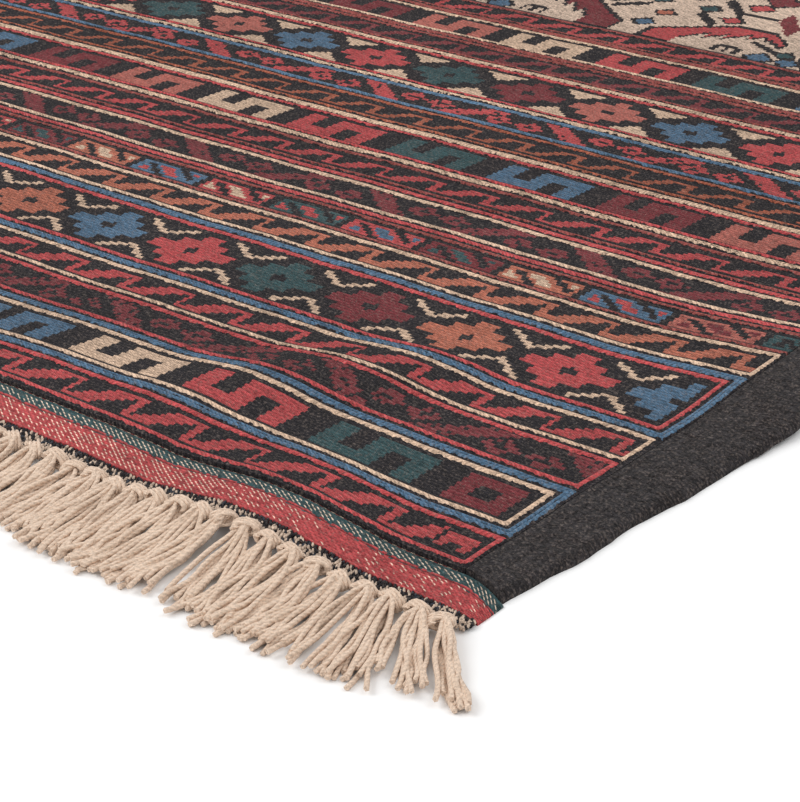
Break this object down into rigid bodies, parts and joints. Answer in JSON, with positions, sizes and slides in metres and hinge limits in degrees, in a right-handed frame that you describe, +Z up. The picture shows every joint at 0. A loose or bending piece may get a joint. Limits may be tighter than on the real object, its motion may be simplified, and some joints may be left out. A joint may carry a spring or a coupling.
{
  "type": "area rug",
  "caption": "Flat-woven wool area rug with banded soumak ends, a patterned ivory field, dark wrapped side selvedges and knotted warp fringes.",
  "frame": {"origin": "on the floor, under the middle of the rug", "axes": "+Y along the warps towards the back fringe, +X along the wefts towards the right selvedge, +Z up from the floor"},
  "size_m": [1.5078, 2.5336, 0.0121],
  "materials": {
    "soumak_madder": "matt weft-wrapped wool, madder red on charcoal",
    "soumak_wine": "matt weft-wrapped wool, wine red on charcoal",
    "soumak_rust": "matt weft-wrapped wool, rust orange on charcoal",
    "soumak_blue": "matt weft-wrapped wool, denim blue on charcoal",
    "soumak_teal": "matt weft-wrapped wool, teal green on charcoal",
    "soumak_ivory": "matt weft-wrapped wool, ivory",
    "web_madder": "plain weave, madder red weft with pale warp dots",
    "web_teal": "plain weave, teal green weft with pale warp dots",
    "twining": "twined navy and ivory wool",
    "warp_wool": "undyed cream wool, plied and slightly felted",
    "selvedge_hair": "overcast charcoal goat hair, matt"
  },
  "bodies": {
    "root": {"ground_weave": "warp_wool", "centre_field": "soumak_ivory", "leaf_band_1_front": "soumak_madder", "key_band_1_front": "soumak_blue", "lattice_band_1_front": "soumak_wine", "leaf_band_2_front": "soumak_madder", "star_band_1_front": "soumak_blue", "leaf_band_3_front": "soumak_rust", "box_band_front": "soumak_teal", "lattice_band_2_front": "soumak_wine", "leaf_band_4_front": "soumak_madder", "key_band_2_front": "soumak_madder", "leaf_band_5_front": "soumak_rust", "lattice_band_3_front": "soumak_madder", "star_band_2_front": "soumak_blue", "leaf_band_6_front": "soumak_wine", "key_band_3_front": "soumak_teal", "leaf_band_7_front": "soumak_madder", "green_web_front": "web_teal", "red_web_front": "web_madder", "twining_front": "twining", "fringe_knots_front": "warp_wool", "fringe_tassels_front": "warp_wool", "leaf_band_1_back": "soumak_madder", "key_band_1_back": "soumak_blue", "lattice_band_1_back": "soumak_wine", "leaf_band_2_back": "soumak_madder", "star_band_1_back": "soumak_blue", "leaf_band_3_back": "soumak_rust", "box_band_back": "soumak_teal", "lattice_band_2_back": "soumak_wine", "leaf_band_4_back": "soumak_madder", "key_band_2_back": "soumak_madder", "leaf_band_5_back": "soumak_rust", "lattice_band_3_back": "soumak_madder", "star_band_2_back": "soumak_blue", "leaf_band_6_back": "soumak_wine", "key_band_3_back": "soumak_teal", "leaf_band_7_back": "soumak_madder", "green_web_back": "web_teal", "red_web_back": "web_madder", "twining_back": "twining", "fringe_knots_back": "warp_wool", "fringe_tassels_back": "warp_wool", "selvedge_left": "selvedge_hair", "selvedge_right": "selvedge_hair"}
  },
  "joints": []
}
